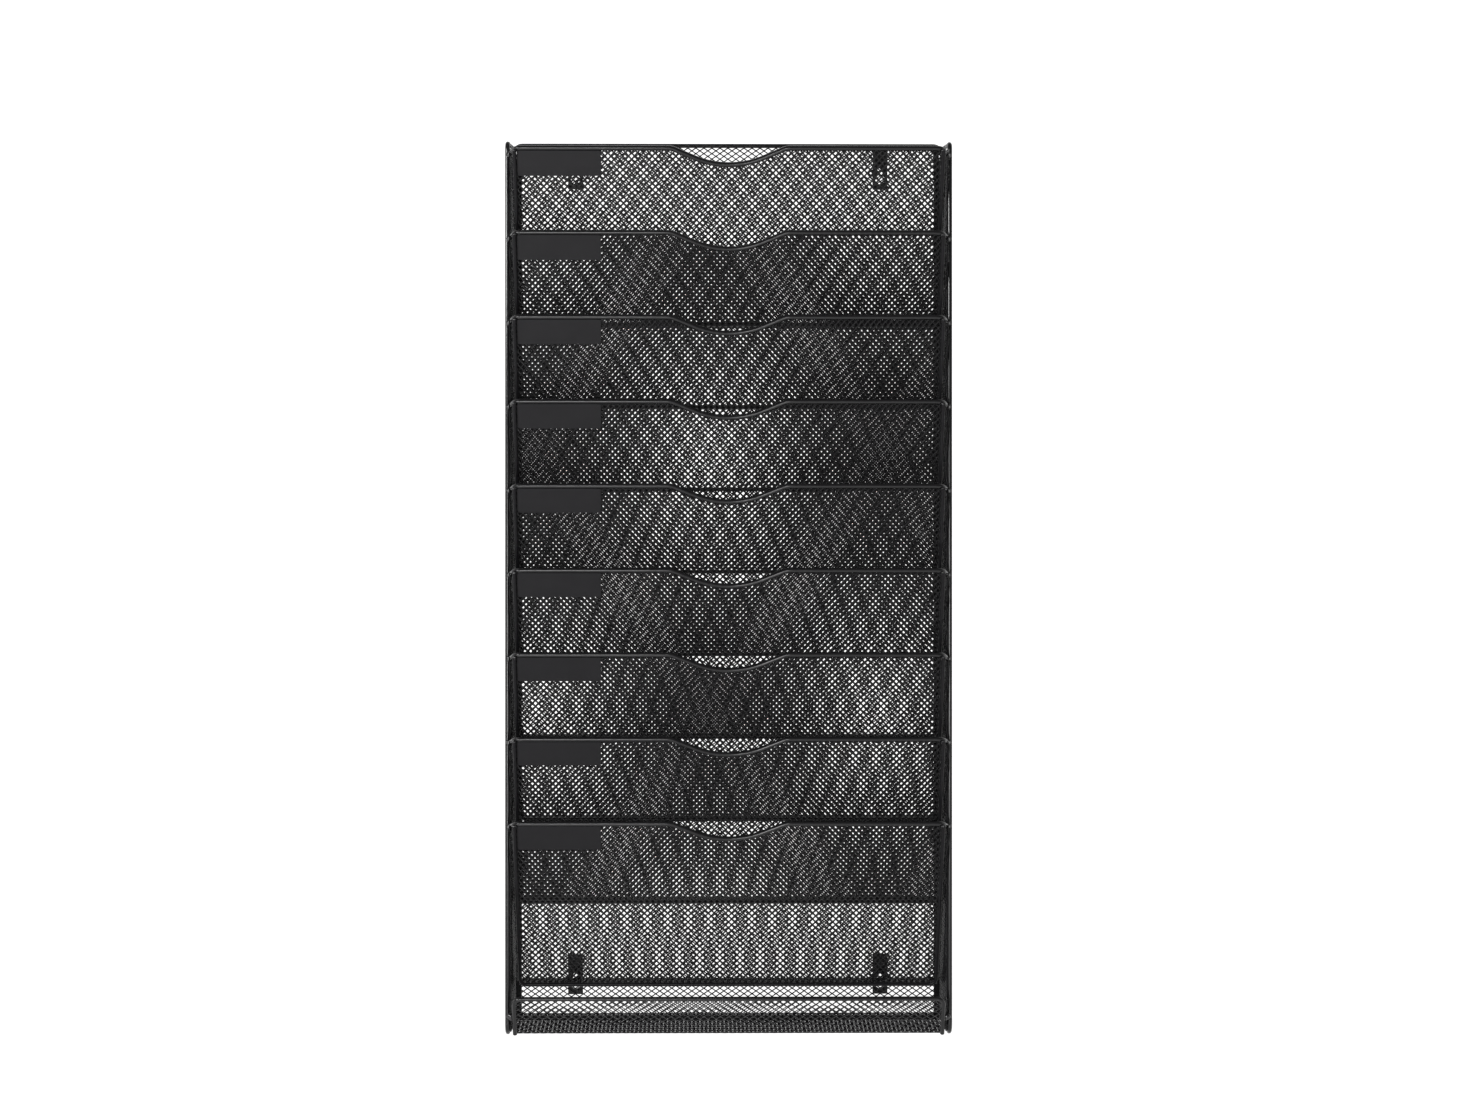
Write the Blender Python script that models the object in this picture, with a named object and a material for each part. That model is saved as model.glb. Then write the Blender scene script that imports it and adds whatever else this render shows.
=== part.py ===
# A wall organizer of welded wire and expanded steel sheet: nine leaning pockets above a shallow tray.
# Lengths are metres. A depth runs from the wall towards the user, which is -Y, and a height runs up
# from the underside. The origin is on the wall, midway between the seats of the two upper keyholes.

import math

import bmesh
import bpy
from mathutils import Matrix, Vector

# The whole organizer
pocket_count = 9
rim_pitch = 0.060
lowest_rim_height = 0.153
frame_width = 0.3165  # between the centres of the two uprights
weld_gap = 0.0003  # what is left between two welded pieces
sheet_thickness = 0.0008

# The back frame, a closed loop of wire against the wall
back_wire = 0.0032
back_frame_rise = 0.013  # of its top wire over the highest rim
back_corner_radius = 0.0065

# The side frames, one bent wire each
side_wire = 0.0035
upright_depth = 0.072
upright_rise = 0.0052  # of the bend at its top over the highest rim
upright_tip_radius = 0.004
upright_foot_radius = 0.007
top_return_rise = 0.005  # of the wire that runs back from the bend to the wall

# The rims
rim_wire = 0.0038
rim_reach = 0.016  # in front of the uprights
rim_corner_radius = 0.006
rim_leg_inset = 0.0012  # of the turned-back ends from the centre of the upright
rim_end_drop = 0.0025
dip_width = 0.0862
dip_depth = 0.0122  # along the slope of the pocket
dip_steps = 10

# The leaning pockets
pocket_drop = 0.122  # from the rim down to the foot
pocket_foot_depth = 0.036
pocket_wire = 0.0028
pocket_wire_inset = 0.0026  # of its legs from the edge of the sheet
pocket_wire_radius = 0.005
pocket_taper = 0.0014  # on each side, from the rim to the foot
corner_relief = 0.0014  # of the sheet's upper corners, under the bends of the rim

# The name plates
plate_width = 0.0596
plate_height = 0.0187
plate_thickness = 0.0006
plate_inset = 0.0045  # from the edge of the sheet

# The tray
tray_wire = 0.0032
tray_rim_height = 0.028
tray_rim_reach = 0.012  # in front of the uprights
tray_foot_inset = 0.0015  # behind the centres of the uprights
tray_wire_inset = 0.0021  # of its legs from the edge of the sheet
tray_corner_radius = 0.0065
tray_floor_lift = 0.001  # of its front edge over the feet
tray_floor_share = 0.14  # of the room under the lowest pocket, which the floor rises to the wall

# The wall tabs
tab_width = 0.011
tab_thickness = 0.0012
tab_wall_height = 0.018
tab_joggle_height = 0.004
tab_weld_height = 0.008
keyhole_diameter = 0.007
keyhole_slot = 0.0036
keyhole_margin = 0.004  # from the end of the tab to the round hole
keyhole_travel = 0.0065
cut_overrun = 0.001

# The diamonds of the expanded sheet. A solid carries them in a coarser net than the steel has.
strand = 0.008
net_border = 0.005
front_columns = 6
front_rows = 4
back_columns = 4
back_rows = 32
side_columns = 2
side_rows = 17
floor_columns = 3
tray_columns = 6
tray_row_count = 2
corner_steps = 3

# Everything below follows from the values above
half_frame = frame_width / 2
highest_rim_height = lowest_rim_height + (pocket_count - 1) * rim_pitch
back_top_height = highest_rim_height + back_frame_rise
upright_top_height = highest_rim_height + upright_rise
side_sheet_x = half_frame - side_wire / 2 - weld_gap - sheet_thickness / 2
pocket_half_width = side_sheet_x - sheet_thickness / 2 - weld_gap
back_wire_depth = tab_thickness + weld_gap + back_wire / 2
back_sheet_depth = back_wire_depth + back_wire / 2 + weld_gap + sheet_thickness / 2
pocket_back_depth = back_sheet_depth + sheet_thickness / 2 + weld_gap
side_front_depth = upright_depth + side_wire / 2
rim_depth = upright_depth + rim_reach
tray_rim_depth = upright_depth + tray_rim_reach
tray_foot_depth = upright_depth - tray_foot_inset
pocket_tilt = math.atan2(rim_depth - pocket_foot_depth, pocket_drop)
pocket_slope = math.hypot(rim_depth - pocket_foot_depth, pocket_drop)
front_top = pocket_slope - rim_wire / 2 - weld_gap
tray_tilt = math.atan2(tray_rim_depth - tray_foot_depth, tray_rim_height - tray_wire / 2)
tray_slope = math.hypot(tray_rim_depth - tray_foot_depth, tray_rim_height - tray_wire / 2)
tray_floor_height = tray_floor_lift + sheet_thickness / 2
tray_floor_rise = tray_floor_share * (lowest_rim_height - pocket_drop)
tab_height = tab_wall_height + tab_joggle_height + tab_weld_height
upper_tab_height = back_top_height - back_wire / 2 - weld_gap - tab_height
back_net_rise = (back_top_height - back_wire / 2 - 2 * net_border) / (back_rows + 1)
first_crossing = back_wire / 2 + net_border + 2 * back_net_rise  # of strands, where a tab is welded
tab_across = (pocket_half_width - net_border) * (1 - 1 / back_columns)
lower_tab_height = first_crossing + tab_weld_height / 2 - tab_height
keyhole_seat = keyhole_margin + keyhole_diameter / 2 + keyhole_travel
hang_height = upper_tab_height + keyhole_seat


def place(x, depth, height):
    return Vector((x, -depth, height))


def upright_frame(depth, height, tilt=0.0):
    """Local X runs across, Y up the sheet and Z out of it, for a sheet that leans out by the tilt."""
    return Matrix.Translation(place(0, depth, height)) @ Matrix.Rotation(math.pi / 2 + tilt, 4, "X")


def clear_scene():
    for item in list(bpy.data.objects):
        bpy.data.objects.remove(item)


def finish(name, colour, roughness, metallic):
    material = bpy.data.materials.new(name)
    material.use_nodes = True
    shader = material.node_tree.nodes["Principled BSDF"]
    shader.inputs["Base Color"].default_value = (*colour, 1)
    shader.inputs["Roughness"].default_value = roughness
    shader.inputs["Metallic"].default_value = metallic
    return material


def add(name, data, material, frame=None):
    piece = bpy.data.objects.new(name, data)
    bpy.context.scene.collection.objects.link(piece)
    piece.parent = body
    piece.matrix_local = frame or Matrix.Identity(4)
    data.materials.append(material)
    return piece


def corner_arc(before, corner, after, radius):
    """The points of a bend of this radius, from the run before the corner to the run after it."""
    back = (before - corner).normalized()
    ahead = (after - corner).normalized()
    half = back.angle(ahead) / 2
    centre = corner + (back + ahead).normalized() * radius / math.sin(half)
    start = corner + back * radius / math.tan(half) - centre
    axis = back.cross(ahead).normalized()
    turn = 2 * half - math.pi
    steps = range(corner_steps + 1)
    return [centre + Matrix.Rotation(turn * step / corner_steps, 3, axis) @ start for step in steps]


def bent(points, radii):
    """A run of wire through these points, with its inner corners bent to these radii."""
    path = [points[0]]
    for number, radius in enumerate(radii, 1):
        path += corner_arc(points[number - 1], points[number], points[number + 1], radius)
    return path + [points[-1]]


def wire(name, path, diameter, material, sides_level, frame=None, closed=False):
    """A round wire along the path. A sides level of 1 gives it six sides and one of 2 gives eight."""
    curve = bpy.data.curves.new(name, "CURVE")
    curve.dimensions = "3D"
    curve.bevel_depth = diameter / 2
    curve.bevel_resolution = sides_level
    curve.use_fill_caps = True
    spline = curve.splines.new("POLY")
    spline.points.add(len(path) - 1)
    for point, where in zip(spline.points, path):
        point.co = (*where, 1)
    spline.use_cyclic_u = closed
    spline.use_smooth = True
    return add(name, curve, material, frame)


def sheet(name, outline, holes, thickness, material, frame):
    """A flat sheet of this outline and holes, which lie in the X and Y of its frame."""
    curve = bpy.data.curves.new(name, "CURVE")
    curve.dimensions = "2D"
    curve.fill_mode = "BOTH"
    curve.extrude = thickness / 2
    for loop in [outline, *holes]:
        spline = curve.splines.new("POLY")
        spline.points.add(len(loop) - 1)
        for point, (across, up) in zip(spline.points, loop):
            point.co = (across, up, 0, 1)
        spline.use_cyclic_u = True
    return add(name, curve, material, frame)


def diamonds(columns, rows, left, right, bottom, top):
    """A net of staggered diamonds between two sides, given as functions of height, and two edges, as
    functions of the place across. Each second row has one diamond less and lies half a step over."""

    def on_sheet(across_share, up_share):
        level = bottom(0) + up_share * (top(0) - bottom(0))
        across = left(level) + across_share * (right(level) - left(level))
        return across, bottom(across) + up_share * (top(across) - bottom(across))

    half_share = 0.5 / columns
    row_share = 1 / (rows + 1)
    half_wide = half_share * (right(0) - left(0))
    half_tall = row_share * (top(0) - bottom(0))
    open_share = 1 - strand / 2 * math.hypot(half_wide, half_tall) / (half_wide * half_tall)
    half_share *= open_share
    holes = []
    for row in range(rows):
        up_share = (row + 1) * row_share
        for column in range(columns - row % 2):
            across_share = (column + 0.5 + row % 2 / 2) / columns
            holes.append(
                [
                    on_sheet(across_share - half_share, up_share),
                    on_sheet(across_share, up_share - open_share * row_share),
                    on_sheet(across_share + half_share, up_share),
                    on_sheet(across_share, up_share + open_share * row_share),
                ]
            )
    return holes


def constant(value):
    return lambda place_on_sheet: value


def dip(across):
    """How far the finger dip draws the rim down the slope: a round bottom with short shoulders."""
    share = min(abs(across) / (dip_width / 2), 1)
    return dip_depth * (1 - share**2) ** 1.5


def dip_places():
    return [dip_width * (step / dip_steps - 0.5) for step in range(dip_steps + 1)]


def rim_height(tier):
    return highest_rim_height - tier * rim_pitch


def rim_path():
    """One rim in the frame of its pocket's sheet, from weld to weld."""
    unlean = upright_frame(pocket_foot_depth, 0, pocket_tilt).inverted()
    leg_x = half_frame - rim_leg_inset
    end = unlean @ place(leg_x, side_front_depth + weld_gap, pocket_drop - rim_end_drop)
    corner = unlean @ place(leg_x, rim_depth, pocket_drop)
    mirror = Matrix.Scale(-1, 4, (1, 0, 0))
    bend = corner_arc(end, corner, mirror @ corner, rim_corner_radius)
    right = [end, *bend]
    left = [mirror @ point for point in right]
    middle = [Vector((across, pocket_slope - dip(across), 0)) for across in dip_places()]
    return left + middle + right[::-1]


def pocket_half(up):
    """Half the width of a pocket's sheet, which tapers towards its foot."""
    return pocket_half_width - pocket_taper * (1 - up / pocket_slope)


def front_outline():
    foot = pocket_half(0)
    side = pocket_half(front_top)
    right = [(foot, 0), (side, front_top - corner_relief), (side - rim_corner_radius, front_top)]
    left = [(-across, up) for across, up in right[::-1]]
    return right + [(across, front_top - dip(across)) for across in dip_places()[::-1]] + left


def pocket_wire_path():
    """The U-shaped wire on the front of the sheet: two legs and a foot bar."""
    out = sheet_thickness / 2 + weld_gap + pocket_wire / 2
    low = pocket_wire / 2
    leg_top = pocket_half(front_top) - pocket_wire_inset
    leg_foot = pocket_half(0) - pocket_wire_inset
    right = [Vector((leg_top, front_top, out)), Vector((leg_foot, low, out))]
    left = [Vector((-leg_foot, low, out)), Vector((-leg_top, front_top, out))]
    return bent(right + left, [pocket_wire_radius] * 2)


def make_pocket(tier):
    """The five pieces of one pocket. The first tier is the highest."""
    number = tier + 1
    foot_height = rim_height(tier) - pocket_drop
    leaning = upright_frame(pocket_foot_depth, foot_height, pocket_tilt)
    wire(f"rim_wire_{number}", rim_path(), rim_wire, wire_coat, 2, leaning)
    wire(f"pocket_wire_{number}", pocket_wire_path(), pocket_wire, wire_coat, 1, leaning)
    holes = diamonds(
        front_columns,
        front_rows,
        lambda up: net_border - pocket_half(up),
        lambda up: pocket_half(up) - net_border,
        constant(net_border),
        lambda across: front_top - dip(across) - net_border,
    )
    sheet(f"pocket_front_{number}", front_outline(), holes, sheet_thickness, sheet_coat, leaning)
    make_floor(number, foot_height)
    make_plate(number, leaning)


def make_floor(number, foot_height):
    front = pocket_foot_depth - sheet_thickness / 2 / math.cos(pocket_tilt) - weld_gap
    half = pocket_half(0)
    outline = [(-half, -front), (half, -front), (half, -pocket_back_depth), (-half, -pocket_back_depth)]
    holes = diamonds(
        floor_columns,
        1,
        constant(net_border - half),
        constant(half - net_border),
        constant(net_border - front),
        constant(-pocket_back_depth - net_border),
    )
    level = Matrix.Translation((0, 0, foot_height + sheet_thickness / 2))
    sheet(f"pocket_floor_{number}", outline, holes, sheet_thickness, sheet_coat, level)


def make_plate(number, leaning):
    left = plate_inset - pocket_half_width
    bottom = front_top - plate_height
    right = left + plate_width
    outline = [(left, bottom), (right, bottom), (right, front_top), (left, front_top)]
    out = sheet_thickness / 2 + weld_gap + plate_thickness / 2
    on_sheet = leaning @ Matrix.Translation((0, 0, out))
    sheet(f"name_plate_{number}", outline, [], plate_thickness, plate_coat, on_sheet)


def make_side(name, side):
    """A side frame, bent from one wire, and the sheet on its inner face."""
    x = side * half_frame
    end_depth = back_wire_depth + back_wire / 2 + weld_gap
    run = [
        place(x, end_depth, upright_top_height + top_return_rise),
        place(x, upright_depth, upright_top_height),
        place(x, upright_depth, side_wire / 2),
        place(x, end_depth, side_wire / 2),
    ]
    path = bent(run, [upright_tip_radius, upright_foot_radius])
    wire(f"{name}_side_wire", path, side_wire, wire_coat, 2)
    frame = Matrix.Translation((side * side_sheet_x, 0, 0))
    frame @= Matrix.Rotation(-math.pi / 2, 4, "Z") @ Matrix.Rotation(math.pi / 2, 4, "X")
    top = upright_top_height - side_wire - upright_tip_radius
    holes = diamonds(
        side_columns,
        side_rows,
        constant(pocket_back_depth + net_border),
        constant(side_front_depth - net_border),
        constant(side_wire + net_border),
        constant(top - net_border),
    )
    sheet(f"{name}_side_mesh", side_outline(top), holes, sheet_thickness, sheet_coat, frame)


def side_outline(top):
    """The side sheet, with a tooth out to each leaning pocket, which closes the end of its mouth."""
    lean = math.tan(pocket_tilt)
    clearance = rim_wire / 2 + weld_gap
    leg_slope = rim_end_drop / (rim_depth - side_front_depth)
    rear = back_sheet_depth - sheet_thickness / 2
    outline = [(rear, side_wire / 2), (rear, top + top_return_rise), (side_front_depth, top)]
    for tier in range(pocket_count):
        under_rim = rim_height(tier) - clearance
        tip = rim_depth - clearance * lean - rim_wire / 2
        outline += [
            (side_front_depth, under_rim - leg_slope * (rim_depth - side_front_depth)),
            (tip, under_rim - leg_slope * (rim_depth - tip)),
            (side_front_depth, rim_height(tier) - (rim_depth - side_front_depth) / lean),
        ]
    tray_lean = math.tan(tray_tilt)
    behind = tray_wire / 2 / math.cos(tray_tilt)
    return outline + [
        (side_front_depth, tray_rim_height),
        (tray_rim_depth - behind, tray_rim_height),
        (tray_foot_depth - behind, tray_rim_height - (tray_rim_depth - tray_foot_depth) / tray_lean),
    ]


def make_back():
    """The closed wire loop against the wall, and the sheet welded on its front."""
    low = back_wire / 2
    corners = [(-1, low), (1, low), (1, back_top_height), (-1, back_top_height)]
    points = [place(side * half_frame, back_wire_depth, height) for side, height in corners]
    loop = []
    for number, corner in enumerate(points):
        after = points[(number + 1) % len(points)]
        loop += corner_arc(points[number - 1], corner, after, back_corner_radius)
    wire("back_frame_wire", loop, back_wire, wire_coat, 2, closed=True)
    half = pocket_half_width
    outline = [(-half, low), (half, low), (half, back_top_height), (-half, back_top_height)]
    holes = diamonds(
        back_columns,
        back_rows,
        constant(net_border - half),
        constant(half - net_border),
        constant(low + net_border),
        constant(back_top_height - net_border),
    )
    against_wire = upright_frame(back_sheet_depth, 0)
    sheet("back_mesh", outline, holes, sheet_thickness, sheet_coat, against_wire)


def make_tray():
    """The bent wire round the tray's front, and the tray's two sheets. Its floor falls to the front."""
    low = tray_wire / 2
    leg = pocket_half_width - tray_wire_inset
    right = [place(leg, tray_foot_depth, low), place(leg, tray_rim_depth, tray_rim_height)]
    left = [point * Vector((-1, 1, 1)) for point in right[::-1]]
    wire("tray_frame_wire", bent(right + left, [tray_corner_radius] * 2), tray_wire, wire_coat, 2)

    behind = tray_wire / 2 + weld_gap + sheet_thickness / 2
    leaning = upright_frame(tray_foot_depth, low, tray_tilt) @ Matrix.Translation((0, 0, -behind))
    half = pocket_half_width
    foot_height = tray_floor_height + sheet_thickness / 2 + weld_gap
    foot = (foot_height - low - behind * math.sin(tray_tilt)) / math.cos(tray_tilt)
    foot += sheet_thickness / 2 * math.tan(tray_tilt)
    outline = [(-half, foot), (half, foot), (half, tray_slope), (-half, tray_slope)]
    holes = diamonds(
        tray_columns * 2,
        tray_row_count,
        constant(net_border - half),
        constant(half - net_border),
        constant(foot + tray_wire / 2),
        constant(tray_slope - tray_wire / 2),
    )
    sheet("tray_front_mesh", outline, holes, sheet_thickness, sheet_coat, leaning)

    front = (leaning @ Vector((0, foot, 0))).y
    run = -pocket_back_depth - front
    length = math.hypot(run, tray_floor_rise)
    outline = [(-half, 0), (half, 0), (half, length), (-half, length)]
    holes = diamonds(
        tray_columns,
        tray_row_count,
        constant(net_border - half),
        constant(half - net_border),
        constant(net_border),
        constant(length - net_border),
    )
    rising = Matrix.Translation((0, front, tray_floor_height))
    rising @= Matrix.Rotation(math.atan2(tray_floor_rise, run), 4, "X")
    sheet("tray_floor_mesh", outline, holes, sheet_thickness, sheet_coat, rising)


def extruded(name, outline, start, end, axis):
    """A closed prism of the outline, swept from start to end along the axis."""
    mesh = bpy.data.meshes.new(name)
    form = bmesh.new()
    base = form.faces.new([form.verts.new(point + axis * start) for point in outline])
    swept = bmesh.ops.extrude_face_region(form, geom=[base])["geom"]
    moved = [item for item in swept if isinstance(item, bmesh.types.BMVert)]
    bmesh.ops.translate(form, verts=moved, vec=axis * (end - start))
    bmesh.ops.recalc_face_normals(form, faces=form.faces)
    form.to_mesh(mesh)
    form.free()
    return mesh


def tab_outline():
    """The joggled side view of a tab: its keyhole end on the wall, its weld end behind the sheet."""
    wall = tab_wall_height
    weld = tab_wall_height + tab_joggle_height
    set_off = back_sheet_depth - sheet_thickness / 2 - weld_gap - tab_thickness
    rear = [(0, 0), (0, wall), (set_off, weld), (set_off, tab_height)]
    front = [(depth + tab_thickness, height) for depth, height in rear[::-1]]
    return [place(0, depth, height) for depth, height in rear + front]


def keyhole_outline():
    """A round hole for the screw's head, and a slot up to the seat for its shank."""
    big = keyhole_diameter / 2
    small = keyhole_slot / 2
    low = keyhole_margin + big
    opening = math.asin(small / big)
    arcs = []
    for centre, radius, start, end in (
        (low, big, math.pi / 2 + opening, 5 * math.pi / 2 - opening),
        (keyhole_seat, small, 0, math.pi),
    ):
        steps = corner_steps * 3
        for step in range(steps + 1):
            angle = start + (end - start) * step / steps
            arcs.append(place(radius * math.cos(angle), 0, centre + radius * math.sin(angle)))
    return arcs


def make_tab(name, side, height):
    across = Vector((1, 0, 0))
    out = Vector((0, -1, 0))
    spot = Matrix.Translation(place(side * tab_across, 0, height))
    shape = extruded(name, tab_outline(), -tab_width / 2, tab_width / 2, across)
    tab = add(name, shape, tab_coat, spot)
    hole = extruded("keyhole", keyhole_outline(), -cut_overrun, tab_thickness + cut_overrun, out)
    cutter = add(f"{name}_keyhole", hole, tab_coat, spot)
    cutter.hide_render = True
    cutter.display_type = "WIRE"
    cut = tab.modifiers.new("keyhole", "BOOLEAN")
    cut.operation = "DIFFERENCE"
    cut.solver = "EXACT"
    cut.object = cutter


clear_scene()
body = bpy.data.objects.new("organizer_body", None)
body.location = (0, 0, -hang_height)
bpy.context.scene.collection.objects.link(body)
wire_coat = finish("wire_coat", (0.030, 0.030, 0.033), 0.30, 0.2)
sheet_coat = finish("sheet_coat", (0.024, 0.024, 0.027), 0.38, 0.2)
plate_coat = finish("plate_coat", (0.028, 0.028, 0.031), 0.42, 0.2)
tab_coat = finish("tab_coat", (0.026, 0.026, 0.029), 0.45, 0.2)

make_back()
make_side("left", -1)
make_side("right", 1)
for tier in range(pocket_count):
    make_pocket(tier)
make_tray()
make_tab("upper_left_tab", -1, upper_tab_height)
make_tab("upper_right_tab", 1, upper_tab_height)
make_tab("lower_left_tab", -1, lower_tab_height)
make_tab("lower_right_tab", 1, lower_tab_height)
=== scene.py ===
# Dresses the wire and mesh wall organizer in expanded sheet, round wire, weld beads and powder coat.
# Metres. x runs to the right, a depth from the wall to the viewer and a height up from the underside.
import math

import bpy
import numpy as np
from mathutils import Matrix, Vector


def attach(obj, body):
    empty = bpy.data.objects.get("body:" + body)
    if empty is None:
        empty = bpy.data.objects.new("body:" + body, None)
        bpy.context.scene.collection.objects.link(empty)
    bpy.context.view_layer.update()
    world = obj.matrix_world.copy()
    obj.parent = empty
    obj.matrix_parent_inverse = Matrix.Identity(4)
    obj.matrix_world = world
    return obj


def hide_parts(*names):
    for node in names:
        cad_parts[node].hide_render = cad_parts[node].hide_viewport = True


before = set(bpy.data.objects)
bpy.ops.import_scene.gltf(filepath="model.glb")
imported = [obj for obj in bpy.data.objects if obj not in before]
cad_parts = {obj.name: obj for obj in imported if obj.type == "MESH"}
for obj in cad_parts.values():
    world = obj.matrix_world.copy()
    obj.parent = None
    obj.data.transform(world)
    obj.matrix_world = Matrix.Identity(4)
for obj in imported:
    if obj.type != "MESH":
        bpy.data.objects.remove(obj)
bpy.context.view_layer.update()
print("frame loaded:", len(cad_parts), "nodes")

organizer = {
    "pockets": 9,
    "pitch": 0.060,  # from rim to rim
    "topRim": 0.633,
    "hang": 0.6281,  # height of the screw seats, where z is zero
    "halfFrame": 0.15825,  # to the centre of an upright
    "halfSheet": 0.1551,  # of the sheets between the two side sheets
    "sheet": 0.0008,
    "gap": 0.0003,
}


def spot(x, depth, height):
    return Vector((x, -depth, height - organizer["hang"]))


def rimHeight(tier):
    return organizer["topRim"] - tier * organizer["pitch"]


coatNoise = {"cloudDetail": 3, "peelDetail": 2, "tintStart": 0.3, "tintEnd": 0.7}


# The powder coat drifts slowly in tint and gloss, and has a fine orange peel.
def powderCoat(name, coat):
    material = bpy.data.materials.new(name)
    material.use_nodes = True
    nodes, links = material.node_tree.nodes, material.node_tree.links
    shader = nodes["Principled BSDF"]
    place = nodes.new("ShaderNodeTexCoord")
    cloud = nodes.new("ShaderNodeTexNoise")
    cloud.inputs["Scale"].default_value = coat["cloudScale"]
    cloud.inputs["Detail"].default_value = coatNoise["cloudDetail"]
    peel = nodes.new("ShaderNodeTexNoise")
    peel.inputs["Scale"].default_value = coat["peelScale"]
    peel.inputs["Detail"].default_value = coatNoise["peelDetail"]
    tint = nodes.new("ShaderNodeValToRGB")
    tint.color_ramp.elements[0].position = coatNoise["tintStart"]
    tint.color_ramp.elements[0].color = (*coat["thin"], 1)
    tint.color_ramp.elements[1].position = coatNoise["tintEnd"]
    tint.color_ramp.elements[1].color = (*coat["thick"], 1)
    gloss = nodes.new("ShaderNodeMapRange")
    gloss.inputs["To Min"].default_value = coat["gloss"][0]
    gloss.inputs["To Max"].default_value = coat["gloss"][1]
    bump = nodes.new("ShaderNodeBump")
    bump.inputs["Strength"].default_value = coat["peel"]
    bump.inputs["Distance"].default_value = coat["peelDepth"]
    for texture in (cloud, peel):
        links.new(place.outputs["Object"], texture.inputs["Vector"])
    links.new(cloud.outputs["Fac"], tint.inputs["Fac"])
    links.new(tint.outputs["Color"], shader.inputs["Base Color"])
    links.new(cloud.outputs["Fac"], gloss.inputs["Value"])
    links.new(gloss.outputs["Result"], shader.inputs["Roughness"])
    links.new(peel.outputs["Fac"], bump.inputs["Height"])
    links.new(bump.outputs["Normal"], shader.inputs["Normal"])
    shader.inputs["Specular IOR Level"].default_value = coat["shine"]
    return material


wireCoat = powderCoat("wireCoat", {
    "thin": (0.0034, 0.0033, 0.0038), "thick": (0.0052, 0.0050, 0.0057),
    "gloss": (0.14, 0.20), "shine": 0.34,
    "cloudScale": 45, "peelScale": 1100, "peel": 0.15, "peelDepth": 0.00004,
})
lowWireCoat = powderCoat("lowWireCoat", {
    "thin": (0.0056, 0.0054, 0.0062), "thick": (0.0078, 0.0075, 0.0085),
    "gloss": (0.24, 0.32), "shine": 0.12,
    "cloudScale": 45, "peelScale": 1100, "peel": 0.2, "peelDepth": 0.00004,
})
weldCoat = powderCoat("weldCoat", {
    "thin": (0.0052, 0.0050, 0.0058), "thick": (0.0078, 0.0075, 0.0085),
    "gloss": (0.10, 0.16), "shine": 0.55,
    "cloudScale": 90, "peelScale": 1500, "peel": 0.3, "peelDepth": 0.00004,
})
sheetCoat = powderCoat("sheetCoat", {
    "thin": (0.0036, 0.0034, 0.0040), "thick": (0.0056, 0.0053, 0.0062),
    "gloss": (0.18, 0.26), "shine": 0.22,
    "cloudScale": 30, "peelScale": 1600, "peel": 0.2, "peelDepth": 0.00005,
})
# A lighter, shinier copy of the sheet coat for the tray front: its lighter colour is painted sheen,
# where the strands catch the light.
trayFrontPaintedSheenCoat = powderCoat("trayFrontPaintedSheenCoat", {
    "thin": (0.0105, 0.0102, 0.0110), "thick": (0.0150, 0.0146, 0.0157),
    "gloss": (0.18, 0.26), "shine": 0.40,
    "cloudScale": 30, "peelScale": 1600, "peel": 0.2, "peelDepth": 0.00005,
})
# A darker, duller copy of the sheet coat for the tray floor: painted shade on its strands, which also
# reflect less.
trayFloorPaintedShadeCoat = powderCoat("trayFloorPaintedShadeCoat", {
    "thin": (0.0030, 0.0029, 0.0033), "thick": (0.0044, 0.0042, 0.0048),
    "gloss": (0.60, 0.75), "shine": 0.08,
    "cloudScale": 30, "peelScale": 1600, "peel": 0.2, "peelDepth": 0.00005,
})
plateCoat = powderCoat("plateCoat", {
    "thin": (0.0068, 0.0064, 0.0075), "thick": (0.0088, 0.0084, 0.0096),
    "gloss": (0.38, 0.48), "shine": 0.16,
    "cloudScale": 60, "peelScale": 1100, "peel": 0.35, "peelDepth": 0.00006,
})
tabCoat = powderCoat("tabCoat", {
    "thin": (0.0065, 0.0064, 0.0072), "thick": (0.0095, 0.0093, 0.0104),
    "gloss": (0.34, 0.46), "shine": 0.20,
    "cloudScale": 60, "peelScale": 1100, "peel": 0.35, "peelDepth": 0.00006,
})
print("finishes made")


def settle(name, mesh, material, replaced):
    mesh.materials.append(material)
    mesh.shade_smooth()
    piece = bpy.data.objects.new(name, mesh)
    bpy.context.scene.collection.objects.link(piece)
    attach(piece, "root")
    if replaced:
        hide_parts(*replaced)
    return piece


def addPiece(name, points, faces, material, replaced=()):
    mesh = bpy.data.meshes.new(name)
    mesh.from_pydata([tuple(point) for point in points], [], [tuple(face) for face in faces])
    return settle(name, mesh, material, replaced)


# The map of a net shows its front below, its back above that and its cut strand ends along the top.
netMap = {
    "size": (0.98, 0.46),
    "front": (0.01, 0.01),
    "back": (0.01, 0.49),
    "ends": (0.01, 0.96),
    "endsSize": (0.98, 0.03),
    "endWide": 0.8,  # share of each end's place that it fills
}


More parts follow.
